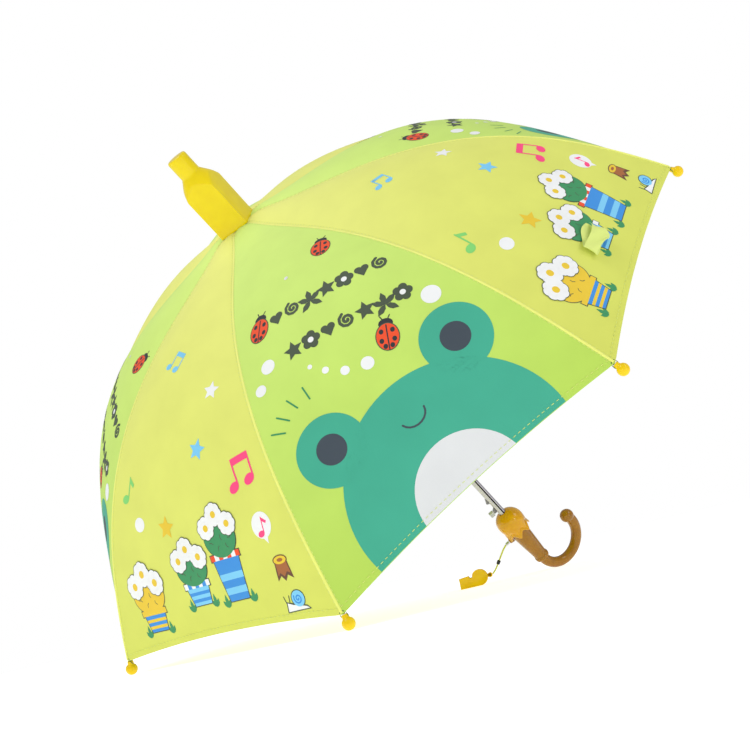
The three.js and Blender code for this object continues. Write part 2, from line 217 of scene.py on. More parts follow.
# polished yellow ABS with a clear gloss, and a darker copy of it as painted shade in the window and in the lug's
# eye
whistle_abs = moulded_plastic("moulded_yellow_abs", "#F0C408", "#DDAC04", roughness=0.22)
whistle_painted_shade = moulded_plastic("whistle_window_shade", "#7A5C0B", "#5C4508", roughness=0.6, coat=0.0)

# in millimetres: how far it clears the floor, its barrel's radius, and its width from cheek to cheek
whistle_low, whistle_r, whistle_wide = 0.15, 10.5, 14.0
mouthpiece = [(26.4, whistle_low + 0.2), (26.4, 14.2), (13.8, 15.4), (12.6, 12.4), (10.0, 12.1)]
barrel = []
for i in range(30):
    a = radians(38 + 8 * i)
    barrel.append((whistle_r * cos(a), whistle_low + whistle_r + whistle_r * sin(a)))
bm = bmesh.new()
face = bm.faces.new([bm.verts.new((x * mm, 0, z * mm)) for x, z in mouthpiece + barrel])
body = bmesh.ops.extrude_face_region(bm, geom=[face])["geom"]
far_cheek = [g for g in body if isinstance(g, bmesh.types.BMVert)]
bmesh.ops.translate(bm, vec=(0, whistle_wide * mm, 0), verts=far_cheek)
bmesh.ops.translate(bm, vec=(0, -whistle_wide / 2 * mm, 0), verts=bm.verts)
bmesh.ops.recalc_face_normals(bm, faces=bm.faces)
cheeks = [f for f in bm.faces if len(f.verts) > 8]
bmesh.ops.inset_region(bm, faces=cheeks, thickness=1.3 * mm, depth=0, use_even_offset=True)
bmesh.ops.inset_region(bm, faces=cheeks, thickness=0.35 * mm, depth=-0.5 * mm, use_even_offset=True)
rims = [e for e in bm.edges if len(e.link_faces) == 2 and e.calc_face_angle(0) > radians(50)]
bmesh.ops.bevel(bm, geom=rims, offset=0.3 * mm, offset_type="OFFSET", segments=2, profile=0.5, affect="EDGES",
                material=-1, clamp_overlap=True)
# the window's throat, a dark block that is painted shade, and the lug with its arm and eye, whose eye is a dark
# plug of painted shade
block = Matrix.Translation((11.3 * mm, 0, 12.4 * mm)) @ Matrix.Diagonal((2.0 * mm, 9.5 * mm, 0.7 * mm, 1))
throat = bmesh.ops.create_cube(bm, size=1, matrix=block)
for f in {f for v in throat["verts"] for f in v.link_faces}:
    f.material_index = 1
lug_z, lug_r, lug_turn = 10.8 * mm, 3.2 * mm, Matrix.Rotation(pi / 2, 4, "X")
bmesh.ops.create_cone(bm, cap_ends=True, segments=24, radius1=lug_r, radius2=lug_r, depth=3.2 * mm,
                      matrix=Matrix.Translation((-13.6 * mm, 0, lug_z)) @ lug_turn)
block = Matrix.Translation((-11.4 * mm, 0, lug_z)) @ Matrix.Diagonal((5.4 * mm, 3.2 * mm, 4.4 * mm, 1))
bmesh.ops.create_cube(bm, size=1, matrix=block)
eye = bmesh.ops.create_cone(bm, cap_ends=True, segments=16, radius1=1.5 * mm, radius2=1.5 * mm, depth=3.4 * mm,
                            matrix=Matrix.Translation((-13.8 * mm, 0, lug_z)) @ lug_turn)
for f in {f for v in eye["verts"] for f in v.link_faces}:
    f.material_index = 1
bm.transform(Matrix.Translation((-56.5 * mm, 170.4 * mm, 0)) @ Matrix.Rotation(radians(215.8), 4, "Z"))
whistle = made_piece("pea_whistle", bm, whistle_abs, whistle_painted_shade, sharp=40, upright=False)
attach(whistle, "frame")
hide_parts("whistle")

# ---------------------------------------------------------------- bead on the cord
# A small black bead, moulded in polypropylene and slid on the cord, with rounded ends. It is nearly matt.
black_pp = moulded_plastic("moulded_black_polypropylene", "#3A3A3C", "#262628", roughness=0.42, coat=0.05)
bead_from, bead_to = Vector((-30.6, 184.3, 26)) * mm, Vector((-33.7, 183.5, 21.5)) * mm
bead_line = [bead_from.lerp(bead_to, t) for t in (0, 0.06, 0.16, 0.5, 0.84, 0.94, 1)]
bead_radii = [r * mm for r in (1.5, 2.0, 2.25, 2.3, 2.25, 2.0, 1.5)]
bead = made_piece("cord_bead", skin(bead_line, bead_radii, sides=24), black_pp, sharp=60, upright=False)
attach(bead, "frame")
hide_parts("bead")


# ---------------------------------------------------------------- canopy
# Eight gores of printed polyester pongee, lime and yellow in turn, sewn along the ribs and hemmed. Each is one
# taut curved sheet between its ribs. It is laid out in two halves, because a gore folds down its middle.
# in metres: the rib's length, how far a gore stands out between its ribs, and the height of its flat top
RIB_LENGTH, BULGE, PLATEAU = 0.470, 0.0108, -0.0142
# how far the hem is scooped up between the ribs, as a share of the rib's length
HEM_SAG = 0.0157
half_gore = pi / 8
arch_steps = 800


def smooth(t):
    """Goes from 0 to 1 with t, with a soft start and end."""
    u = min(1.0, max(0.0, t))
    return u * u * (3 - 2 * u)


def slope(s):
    """How steep a rib is at a share s of its length: it dips at the crown, runs flat, and then curves down."""
    return radians(9 + 25 * exp(-s / 0.07) + 43.5 * smooth((s - 0.14) / 0.86))


arch = [(0.0, 0.0)]
for i in range(arch_steps):
    a = slope((i + 0.5) / arch_steps)
    step = RIB_LENGTH / arch_steps
    arch.append((arch[-1][0] + step * cos(a), arch[-1][1] - step * sin(a)))


def along(s):
    """The rib line at a share s of its length: how far out, how high, and how steep it is."""
    x = min(arch_steps - 0.001, max(0.0, s * arch_steps))
    i = int(x)
    f = x - i
    r = arch[i][0] * (1 - f) + arch[i + 1][0] * f
    z = arch[i][1] * (1 - f) + arch[i + 1][1] * f
    return r, z - 0.5 * (z - PLATEAU + hypot(z - PLATEAU, 0.0015)), slope(s)


def on_gore(s, v, above, azimuth):
    """A point of a gore: s down it from the apex, v across it from rib to rib, lifted above the cloth."""
    r, z, a = along(s)
    lift = BULGE * sin(pi * s) * (1 - v * v) + above
    out, across = r * cos(half_gore) + lift * sin(a), v * r * sin(half_gore)
    c, n = cos(azimuth), sin(azimuth)
    return Vector((out * c - across * n, out * n + across * c, z + lift * cos(a)))


def half_width(s):
    """Half the width of a gore, in metres, at a share s of the rib's length."""
    return max(1e-6, along(s)[0] * sin(half_gore))


def woven(name, near, far, roughness=0.65, sheen=0.05):
    """Plain-woven polyester. The threads give a matt face with a soft sheen, and painted shade darkens the cloth
    a little towards the hem, from the near colour to the far one. The real threads are 0.15 mm apart. They are
    drawn 0.9 mm apart, so that they show. A wave's bands are 0.314 apart at a scale of 1."""
    material = finish_named(name)
    cut = add(material, "UVMap", uv_map="cut").outputs["UV"]
    down = add(material, "SeparateXYZ", {"Vector": cut}).outputs["Y"]
    depth = add(material, "MapRange", {"Value": down, "From Min": 0.05, "From Max": 0.46})
    cloud = add(material, "TexNoise", {"Vector": cut, "Scale": 1 / (45 * mm), "Detail": 3.0})
    blotch = add(material, "MapRange", {
        "Value": cloud.outputs["Fac"], "From Min": 0.3, "From Max": 0.7, "To Min": 0.965, "To Max": 1.025})
    # painted shade: the colour goes from near by the apex to the darker far colour towards the hem
    tone = add(material, "Mix", {0: depth.outputs[0], 6: linear(near), 7: linear(far)}, data_type="RGBA")
    weave = {"Vector": cut, "Scale": 0.314 / (0.9 * mm), "Distortion": 0.3}
    warp = add(material, "TexWave", weave, bands_direction="X")
    weft = add(material, "TexWave", weave, bands_direction="Y")
    cross = add(material, "Math", {0: warp.outputs["Fac"], 1: weft.outputs["Fac"]}, operation="MULTIPLY")
    shade = add(material, "MapRange", {"Value": cross.outputs[0], "To Min": 0.975, "To Max": 1.01})
    both = add(material, "Math", {0: blotch.outputs[0], 1: shade.outputs[0]}, operation="MULTIPLY")
    dyed = add(material, "Mix", {0: 1.0, 6: tone.outputs[2], 7: both.outputs[0]},
               data_type="RGBA", blend_type="MULTIPLY")
    threads = add(material, "Bump", {"Height": cross.outputs[0], "Strength": 0.25, "Distance": 0.06 * mm})
    slack = add(material, "Bump", {
        "Height": cloud.outputs["Fac"], "Strength": 0.12, "Distance": 3 * mm,
        "Normal": threads.outputs["Normal"]})
    body = add(material, "BsdfPrincipled", {
        "Base Color": dyed.outputs[2], "Roughness": roughness, "Specular IOR Level": 0.25,
        "Sheen Weight": sheen, "Sheen Roughness": 0.4, "Normal": slack.outputs["Normal"]})
    add(material, "OutputMaterial", {"Surface": body.outputs[0]})
    return material


# the two dyed cloths, the paler strip over the seams, and polyester thread with a little more shine
# each cloth's second colour is its first one darkened with painted shade, for the lower part of the gore
lime_pongee = woven("lime_polyester_pongee", "#DCF886", "#B8D95B")
yellow_pongee = woven("yellow_polyester_pongee", "#F1F586", "#D6DD64")
piping_pongee = woven("pale_yellow_piping", "#F1F58F", "#ECF07C")
thread = woven("light_sewing_thread", "#E3EB9B", "#D6E07E", roughness=0.5)

# The gores are screen printed before they are sewn, so each ink keeps the cloth's weave. The shapes are drawn
# in millimetres on the flat cut: x across the gore, y down it from the apex. Each lies a hair above the last.
ink_colours = {
    "teal": "#43AC90", "slate": "#434D57", "white": "#F1F3F4", "chalk": "#DEE0E2", "outline": "#4B5745",
    "red": "#F0532D", "green": "#3F9461", "gold": "#EBC93A", "blue": "#3F92E0", "sky": "#7FCDF5",
    "leaf": "#86D977", "pink": "#FF4F88", "brown": "#A8683C", "bark": "#6B4A3A", "black": "#33363A"}
inks = {name: woven("printed_ink_" + name, colour, colour, roughness=0.6, sheen=0.03)
        for name, colour in ink_colours.items()}
ink_slot = {name: i for i, name in enumerate(inks)}
same_ink_step, new_ink_step = 0.0004, 0.02
laid, pen = 0.0, None


def fresh(height=0.0):
    """Starts a new motif on the bare cloth, or on ink that is height millimetres thick already."""
    global laid, pen
    laid, pen = height, None


def printed(bm, verts, ink):
    """Gives the shape just drawn its ink. A new ink lies higher above the one before than more of the same."""
    global laid, pen
    laid += same_ink_step if ink == pen else new_ink_step
    pen = ink
    for v in verts:
        v.co.z = laid
    for f in {f for v in verts for f in v.link_faces}:
        f.material_index = ink_slot[ink]


def dot(bm, at, ink, x, y, wide, tall=None, turn=0, sides=28):
    """An ellipse of half width wide and half height tall."""
    place = at @ Matrix.Translation((x, y, 0)) @ Matrix.Rotation(radians(turn), 4, "Z")
    place = place @ Matrix.Diagonal((wide, tall or wide, 1, 1))
    printed(bm, bmesh.ops.create_circle(bm, cap_ends=True, segments=sides, radius=1, matrix=place)["verts"], ink)


def patch(bm, at, ink, corners):
    """A filled shape with those corners."""
    verts = [bm.verts.new(at @ Vector((x, y, 0))) for x, y in corners]
    bm.faces.new(verts)
    printed(bm, verts, ink)


def stroke(bm, at, ink, stops, wide):
    """A pen line through the stops, with round joints and ends."""
    for (x0, y0), (x1, y1) in zip(stops, stops[1:]):
        long = hypot(x1 - x0, y1 - y0)
        place = at @ Matrix.Translation(((x0 + x1) / 2, (y0 + y1) / 2, 0))
        place = place @ Matrix.Rotation(atan2(y1 - y0, x1 - x0), 4, "Z") @ Matrix.Diagonal((long, wide, 1, 1))
        printed(bm, bmesh.ops.create_grid(bm, x_segments=1, y_segments=1, size=0.5, matrix=place)["verts"], ink)
    for x, y in stops:
        dot(bm, at, ink, x, y, wide / 2, sides=10)


def star(bm, at, ink, big, small):
    """A five-pointed star: its points are at radius big and its notches at radius small."""
    corners = []
    for i in range(10):
        a, r = radians(-90 + 36 * i), (big, small)[i % 2]
        corners.append((r * cos(a), r * sin(a)))
    patch(bm, at, ink, corners)


def spot_at(x, y, turn=0, size=1):
    """A motif's place on the flat cut, turned by some degrees and made larger or smaller."""
    return Matrix.Translation((x, y, 0)) @ Matrix.Rotation(radians(turn), 4, "Z") @ Matrix.Scale(size, 4)


def ladybird(bm, at):
    """A ladybird seen from above, 26 mm long, with six spots."""
    for side in (-1, 1):
        stroke(bm, at, "black", [(side * 1.5, -13), (side * 4, -17.5)], 0.9)
    dot(bm, at, "black", 0, -10.5, 6, 4.6)
    dot(bm, at, "outline", 0, 1, 9.9, 12.2)
    dot(bm, at, "red", 0, 1, 9.1, 11.4)
    stroke(bm, at, "black", [(0, -9), (0, 12)], 1.1)
    for x, y in ((-4.6, -4), (4.6, -4), (-5.2, 4), (5.2, 4), (-2.8, 9), (2.8, 9)):
        dot(bm, at, "black", x, y, 1.9, 2.2, sides=16)


def curl(bm, at, ink, size, wide, rounds):
    """A pen line that spirals out to radius size."""
    stops = []
    for t in range(17):
        r, a = size * (0.12 + 0.88 * t / 16), 2 * pi * rounds * t / 16
        stops.append((r * cos(a), r * sin(a)))
    stroke(bm, at, ink, stops, wide)


def flower(bm, at, petal, middle, size, petals, edge=True):
    """Round petals about a round middle, with a dark edge round them."""
    ways = [2 * pi * i / petals for i in range(petals)]
    if edge:
        for a in ways:
            dot(bm, at, "outline", 0.56 * size * cos(a), 0.56 * size * sin(a), 0.44 * size + 0.7, sides=20)
    for a in ways:
        dot(bm, at, petal, 0.56 * size * cos(a), 0.56 * size * sin(a), 0.44 * size, sides=20)
    dot(bm, at, petal, 0, 0, 0.5 * size)
    dot(bm, at, middle, 0, 0, 0.3 * size)


def leaf(bm, at, ink, x, y, long, wide, turn):
    """A pointed leaf that grows out from (x, y)."""
    place = at @ spot_at(x, y, turn)
    near = [(0, 0), (0.3 * long, -wide * 0.42), (0.62 * long, -wide * 0.46)]
    patch(bm, place, ink, near + [(long, 0), (0.62 * long, wide * 0.46), (0.3 * long, wide * 0.42)])


def heart(bm, at, ink, size):
    """Two round lobes and a point."""
    for side in (-1, 1):
        dot(bm, at, ink, side * 0.45 * size, -0.3 * size, 0.52 * size, sides=20)
    patch(bm, at, ink, [(-0.92 * size, -0.1 * size), (0, -0.35 * size), (0.92 * size, -0.1 * size), (0, size)])


def quaver(bm, at, ink, size, pair=False):
    """A music note, or two under one beam."""
    for x in ((-0.45, 0.45) if pair else (0,)):
        dot(bm, at, ink, x * size - 0.16 * size, 0.5 * size, 0.3 * size, 0.22 * size, -20, sides=20)
        stroke(bm, at, ink, [((x + 0.09) * size, 0.45 * size), ((x + 0.09) * size, -0.6 * size)], 0.09 * size)
    beam = ((-0.4, -0.68), (0.58, -0.68), (0.58, -0.36), (-0.4, -0.36))
    flag = ((0.05, -0.64), (0.5, -0.3), (0.42, -0.12), (0.05, -0.38))
    patch(bm, at, ink, [(x * size, y * size) for x, y in (beam if pair else flag)])

def potted(bm, at, bush, wide, tall, pot, band, pot_wide, pot_tall, rim):
    """A round bush in a tapered, banded flower pot with a wide rim, and tufts of grass beside its foot."""
    top, mouth, foot = tall * 0.78, pot_wide * 0.5, pot_wide * 0.36
    low = top + pot_tall
    for side in (-1, 1):
        for turn, long in ((-125, 9), (-90, 13), (-58, 9)):
            leaf(bm, at, "green", side * pot_wide * 0.52, low + 5, long, 4.4, turn)
    patch(bm, at, "outline", [
        (-mouth - 0.8, top), (mouth + 0.8, top), (foot + 0.9, low + 0.9), (-foot - 0.9, low + 0.9)])
    patch(bm, at, "outline", [
        (-mouth - 2.8, top - 0.9), (mouth + 2.8, top - 0.9),
        (mouth + 2.8, top + 6.3), (-mouth - 2.8, top + 6.3)])
    dot(bm, at, "outline", 0, 0, wide + 0.8, tall + 0.8, sides=40)
    patch(bm, at, pot, [(-mouth, top), (mouth, top), (foot, low), (-foot, low)])
    for share in (0.42, 0.72):
        reach = mouth + (foot - mouth) * share
        y0, y1 = top + share * pot_tall, top + (share + 0.14) * pot_tall
        patch(bm, at, band, [(-reach, y0), (reach, y0), (reach - 0.4, y1), (0.4 - reach, y1)])
    for n in range(7):
        x0 = -mouth - 2 + (2 * mouth + 4) * n / 7
        x1 = x0 + (2 * mouth + 4) / 7
        patch(bm, at, rim[n % 2], [(x0, top - 0.1), (x1, top - 0.1), (x1, top + 5.4), (x0, top + 5.4)])
    dot(bm, at, bush, 0, 0, wide, tall, sides=40)
    for x, y, turn in ((-0.6, 0.2, 200), (-0.2, 0.5, 120), (0.35, 0.45, 60), (0.62, 0.05, -20), (0.1, 0.0, 80)):
        stroke(bm, at @ spot_at(x * wide, y * tall, turn), "outline", [(-2.4, 0), (0, 1), (2.4, 0)], 0.7)


plain = Matrix.Identity(4)

# lime gore: a big round smiling frog that looks over the hem, ladybirds, bubbles, and two rows of doodles
lime_print = bmesh.new()
for x, y, r in ((80, 315, 9), (-37, 291, 2.2), (-29, 304, 3.2), (-17, 317, 4.2),
                (1, 326, 6), (-64, 258, 7), (-82, 271, 5.5), (-1, 191, 2)):
    dot(lime_print, plain, "white", x, y, r)
for x, y, turn in ((-54, 307, 96), (-69, 305, 76), (-83, 309, 58), (-94, 316, 40)):
    stroke(lime_print, spot_at(x, y, turn), "green", [(-6.5, 0), (6.5, 0)], 1.5)
for x, y, turn, size in ((41, 184, 24, 1.0), (-49, 217, 38, 1.05), (29, 319, 30, 1.08)):
    fresh()
    ladybird(lime_print, spot_at(x, y, turn, size))


def doodle(at, kind):
    """One pen mark of the two rows: a heart, a curl, a sprig, a star or a flower."""
    fresh()
    if kind == "heart":
        heart(lime_print, at, "outline", 7)
    elif kind == "curl":
        curl(lime_print, at, "outline", 7.6, 2.8, rounds=1.7)
    elif kind == "sprig":
        for turn in (-150, -90, -30, 40, 140):
            leaf(lime_print, at, "outline", 0, 4, 13, 6, turn)
    elif kind == "star":
        star(lime_print, at, "outline", 9.6, 4.6)
    else:
        flower(lime_print, at, "outline", "white", 9.2, petals=5, edge=False)


for n, kind in enumerate(("heart", "curl", "sprig", "star", "flower", "heart", "curl")):
    doodle(spot_at(-31 + 16.6 * n, 224 + 4.8 * n, 16), kind)
for n, kind in enumerate(("star", "flower", "heart", "curl", "star", "sprig", "flower")):
    doodle(spot_at(-38 + 17 * n, 266 + 4.9 * n, 16), kind)
fresh()
frog_eyes = ((-69, 362), (70, 361))
for x, y in frog_eyes:
    dot(lime_print, plain, "teal", x, y, 32, sides=56)
dot(lime_print, plain, "teal", -3, 456, 103, 101, sides=96)
for x, y in frog_eyes:
    dot(lime_print, plain, "slate", x, y - 1, 13.5, sides=32)
dot(lime_print, plain, "chalk", -4, 468, 50, sides=64)
smile = [(-1 + 12 * cos(radians(a)), 386 + 10 * sin(radians(a))) for a in range(8, 180, 18)]
stroke(lime_print, plain, "slate", smile, 1.7)

# yellow gore: three potted plants with daisies, a tree stump, a snail, stars and music notes
yellow_print = bmesh.new()
for at, pair, ink, size in (
        (spot_at(0, 199, 30), True, "sky", 15),
        (spot_at(84, 328, -12), True, "pink", 21),
        (spot_at(-77, 308, 20), False, "leaf", 20)):
    fresh()
    quaver(yellow_print, at, ink, size, pair)
for x, y, turn, ink, size in (
        (54, 245, 10, "white", 9.5), (35, 297, 20, "sky", 10.5), (-26, 356, 12, "gold", 11.5)):
    fresh()
    star(yellow_print, spot_at(x, y, turn), ink, size, size * 0.47)
fresh()
dot(yellow_print, plain, "white", -66, 345, 8, 7)
dot(yellow_print, plain, "white", 94, 379, 11, 12)
patch(yellow_print, plain, "white", [(90, 387), (98, 388), (97, 396)])
quaver(yellow_print, spot_at(94, 380), "pink", 13)
for x, y, bush, wide, tall, pot, band, pot_wide, pot_tall, rim in (
        (-83, 412, "gold", 24, 18, "blue", "gold", 34, 22, ("gold", "gold")),
        (-8, 399, "green", 21, 16, "sky", "blue", 32, 22, ("white", "blue")),
        (41, 379, "green", 20, 18, "blue", "sky", 34, 44, ("red", "white"))):
    fresh()
    potted(yellow_print, spot_at(x, y), bush, wide, tall, pot, band, pot_wide, pot_tall, rim)
    for dx, dy in ((-0.68, -0.62), (0.68, -0.58), (0, -1.18)):
        fresh(0.42)
        daisy_at = spot_at(x + dx * wide, y + dy * tall)
        flower(yellow_print, daisy_at, "white", "gold", 0.46 * wide + 1.5, petals=8)
fresh()
patch(yellow_print, plain, "bark", [
    (96, 411), (110, 411), (113, 430), (107, 426), (103, 431), (99, 426), (94, 430)])
dot(yellow_print, plain, "bark", 103, 412, 8.4, 4.6)
patch(yellow_print, plain, "brown", [
    (97, 413), (109, 413), (111, 425), (107, 423), (103, 427), (99, 423), (96, 426)])
dot(yellow_print, plain, "gold", 103, 412, 7.2, 3.6)
dot(yellow_print, plain, "brown", 103, 412, 3.4, 1.6)
fresh()
patch(yellow_print, plain, "outline", [(92, 459), (94, 449), (101, 451), (117, 455), (121, 459)])
for x in (-2, 2):
    stroke(yellow_print, spot_at(96 + x, 450), "outline", [(0, 0), (0.6 * x, -6)], 1)
dot(yellow_print, plain, "outline", 109, 448, 8.2)
patch(yellow_print, plain, "white", [(93.4, 458), (95, 450.2), (101, 452.6), (116, 456), (119, 458)])
dot(yellow_print, plain, "sky", 109, 448, 7.3)
curl(yellow_print, spot_at(109, 448), "blue", 5, 1.4, rounds=1.6)

# The motifs are drawn where they lie on the sewn gore. The hem's scoop is taken out of them here and comes back
# when they are laid on it. Cuts every 4 mm let them bend with the cloth.
hem_at, cut_step = 469.9, 4
for design in (lime_print, yellow_print):
    for v in design.verts:
        share = min(1.0, abs(v.co.x) * mm / half_width(min(1.0, v.co.y * mm / RIB_LENGTH)))
        v.co.y /= 1 - HEM_SAG * (1 - share ** 2)
    bmesh.ops.triangulate(design, faces=design.faces)
    cuts = [((x, 0, 0), (1, 0, 0)) for x in range(-136, 137, cut_step)]
    cuts += [((0, y, 0), (0, 1, 0)) for y in range(168, 469, cut_step)]
    everything = [*design.verts, *design.edges, *design.faces]
    bmesh.ops.bisect_plane(
        design, geom=everything, plane_co=(0, hem_at, 0), plane_no=(0, 1, 0), clear_outer=True)
    for through_point, across in cuts:
        everything = [*design.verts, *design.edges, *design.faces]
        bmesh.ops.bisect_plane(design, geom=everything, plane_co=through_point, plane_no=across)


def draped(bm, azimuth, place):
    """Lays a flat bmesh on a gore. place turns one of its points into (s, v, above)."""
    cut = bm.loops.layers.uv.verify()
    spots = {}
    for v in bm.verts:
        s, across, above = place(v.co)
        spots[v] = (across * half_width(s), s * RIB_LENGTH)
        v.co = on_gore(s, across, above, azimuth)
    outward = Vector((cos(azimuth), sin(azimuth), 0))
    bm.normal_update()
    wrong = [f for f in bm.faces if f.normal.dot(outward) + 0.6 * f.normal.z < 0]
    bmesh.ops.reverse_faces(bm, faces=wrong)
    for f in bm.faces:
        for loop in f.loops:
            loop[cut].uv = spots[loop.vert]


def name_the_cut(obj):
    """Gives a cloth piece's UV map the name that the woven materials read."""
    obj.data.uv_layers[0].name = "cut"
    return obj


def from_cut(co):
    """A printed point's place on its gore."""
    x, t = co.x * mm, co.y * mm / RIB_LENGTH
    s = t
    for _ in range(4):
        v = max(-1.0, min(1.0, x / half_width(s)))
        s = t * (1 - HEM_SAG * (1 - v * v))
    return s, v, (0.12 + co.z) * mm


def stitch(bm, layer, first, last, wide, high, down):
    """One stitch from first to last, as a thin block of thread. down is the part of the cut that tints it."""
    way = last - first
    place = Matrix.Translation((first + last) / 2) @ way.to_track_quat("X", "Z").to_matrix().to_4x4()
    place = place @ Matrix.Diagonal((way.length, wide, high, 1))
    for f in {f for v in bmesh.ops.create_cube(bm, size=1, matrix=place)["verts"] for f in v.link_faces}:
        f.material_index = 1
        for loop in f.loops:
            loop[layer].uv = (loop.vert.co.x, down)


# The sheets start 2.1 percent of the rib's length from the apex. A hem's rows are how far down the gore it is,
# and how far above the cloth in millimetres, from its inner edge, round the fold, to the outer face.
sheet_from, hem_stitches = 0.021, 29
hem_rows = ((0.985, -0.45), (0.9905, -0.62), (0.996, -0.66), (0.9992, -0.6),
            (1.0006, -0.42), (1.0009, -0.2), (1.0006, -0.05), (0.9998, 0.02))

# Each half gore's sheet, print and hem are made where they lie on the open umbrella, and they are not set to
# turn with the rib that they are sewn to.
for k in range(1, 9):
    rib_way = radians(22.5 + 45 * (k - 1))
    for half, side in (("a", -1), ("b", 1)):
        azimuth, name = rib_way + side * half_gore, f"panel_{k}{half}"
        yellow = (k - 1 if side < 0 else k) % 2 == 0
        cloth = yellow_pongee if yellow else lime_pongee
        bm = bmesh.new()
        bmesh.ops.create_grid(bm, x_segments=26, y_segments=64, size=0.5)

        def on_sheet(co):
            """A grid point's place: x goes from the gore's middle to the rib, and y from the top to the hem."""
            v = -side * (co.x + 0.5) ** 1.25
            return (sheet_from + (1 - sheet_from) * (co.y + 0.5)) * (1 - HEM_SAG * (1 - v * v)), v, 0.0

        draped(bm, azimuth, on_sheet)
        sheet = name_the_cut(made_piece(f"gore_half_{k}{half}", bm, cloth, sharp=60))
        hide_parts(name)

        bm = (yellow_print if yellow else lime_print).copy()
        everything = [*bm.verts, *bm.edges, *bm.faces]
        bmesh.ops.bisect_plane(bm, geom=everything, plane_co=(0, 0, 0), plane_no=(side, 0, 0), clear_outer=True)
        bmesh.ops.delete(bm, geom=[v for v in bm.verts if not v.link_faces], context="VERTS")
        draped(bm, azimuth, from_cut)
        print_layer = name_the_cut(made_piece(f"gore_print_{k}{half}", bm, *inks.values(), sharp=60))

        # the hem: a turned-in band 7 mm deep under the edge, rolled at the fold, with stitches 5 mm in
        bm = bmesh.new()
        bmesh.ops.create_grid(bm, x_segments=26, y_segments=7, size=0.5)

        def on_hem(co):
            """The same for the band, whose rows are looked up."""
            v = -side * (co.x + 0.5) ** 1.25
            t, above = hem_rows[round((co.y + 0.5) * 7)]
            return t * (1 - HEM_SAG * (1 - v * v)), v, above * mm

        draped(bm, azimuth, on_hem)
        layer = bm.loops.layers.uv.verify()
        for n in range(hem_stitches):
            v0, v1 = -side * (n + 0.2) / hem_stitches, -side * (n + 0.72) / hem_stitches
            ends = [on_gore(0.9885 * (1 - HEM_SAG * (1 - v * v)), v, 0.24 * mm, azimuth) for v in (v0, v1)]
            stitch(bm, layer, *ends, 0.5 * mm, 0.35 * mm, 0.46)
        hem = name_the_cut(made_piece(f"gore_hem_{k}{half}", bm, cloth, thread, sharp=50))

        for part in (sheet, print_layer, hem):
            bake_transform(part)
lime_print.free()
yellow_print.free()

# ---------------------------------------------------------------- seams over the ribs
# Where two gores meet they are sewn face to face and turned, so a narrow felled ridge runs down every rib, paler
# than the cloth, with its stitches beside it.
ridge_rows = ((-1.25, -0.35), (-1.05, 0.3), (-0.6, 0.62), (0, 0.72), (0.6, 0.62), (1.05, 0.3), (1.25, -0.35))
seam_stitches, stitch_share, stitch_off = 100, 0.0052, 1.9 * mm
for k in range(1, 9):
    rib_way = radians(22.5 + 45 * (k - 1))
    out, across = Vector((cos(rib_way), sin(rib_way), 0)), Vector((-sin(rib_way), cos(rib_way), 0))
    bm = bmesh.new()
    bmesh.ops.create_grid(bm, x_segments=70, y_segments=6, size=0.5)
    layer = bm.loops.layers.uv.verify()
    spots = {}
    for v in bm.verts:
        s = 0.035 + 0.962 * (v.co.x + 0.5)
        wide, above = ridge_rows[round((v.co.y + 0.5) * 6)]
        r, z, a = along(s)
        spots[v] = (wide * mm, s * RIB_LENGTH)
        v.co = out * (r + above * mm * sin(a)) + across * wide * mm + Vector((0, 0, z + above * mm * cos(a)))
    for f in bm.faces:
        for loop in f.loops:
            loop[layer].uv = spots[loop.vert]
    bm.normal_update()
    bmesh.ops.reverse_faces(bm, faces=[f for f in bm.faces if f.normal.dot(out) + f.normal.z < 0])
    for n in range(seam_stitches):
        s = 0.06 + 0.93 * n / seam_stitches
        for azimuth, v in ((rib_way + half_gore, -1), (rib_way - half_gore, 1)):
            ends = [on_gore(t, v * (1 - stitch_off / half_width(t)), 0.1 * mm, azimuth)
                    for t in (s, s + stitch_share)]
            stitch(bm, layer, *ends, 0.4 * mm, 0.3 * mm, 0.3)
    seam = name_the_cut(made_piece(f"rib_seam_{k}", bm, piping_pongee, thread, sharp=60))
    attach(seam, f"rib_{k}")

# ---------------------------------------------------------------- rib tips
# Ball-ended polypropylene caps pushed on the rib ends. The cloth's corner is held to each by three turns of
# dark green thread round the cap's neck.
def lathe(profile, sides, closed=False):
    """Spins a line of (radius, height) points in millimetres about the Z axis."""
    bm = bmesh.new()
    verts = [bm.verts.new((r * mm, 0, z * mm)) for r, z in profile]
    edges = [bm.edges.new(pair) for pair in zip(verts, verts[1:] + verts[:1] if closed else verts[1:])]
    bmesh.ops.spin(bm, geom=[*verts, *edges], axis=(0, 0, 1), cent=(0, 0, 0), angle=2 * pi, steps=sides,
                   use_merge=True, use_duplicate=False)
    bmesh.ops.remove_doubles(bm, verts=bm.verts, dist=1e-6)
    bmesh.ops.dissolve_degenerate(bm, edges=bm.edges, dist=1e-7)
    bmesh.ops.recalc_face_normals(bm, faces=bm.faces)
    return bm


# smooth, glossy caps
tip_pp = moulded_plastic("moulded_yellow_polypropylene", "#F5D40F", "#E6BD08", roughness=0.26, coat=0.2)
# spun polyester thread: matt, with lighter plies
green_thread = finish_named("dark_green_sewing_thread")
spot = add(green_thread, "TexCoord").outputs["Object"]
ply = add(green_thread, "TexNoise", {"Vector": spot, "Scale": 1 / (0.3 * mm), "Detail": 2.0})
tone = add(green_thread, "Mix", {0: ply.outputs["Fac"], 6: linear("#3E5A2A"), 7: linear("#6B8444")},
           data_type="RGBA")
body = add(green_thread, "BsdfPrincipled", {
    "Base Color": tone.outputs[2], "Roughness": 0.75, "Sheen Weight": 0.2})
add(green_thread, "OutputMaterial", {"Surface": body.outputs[0]})

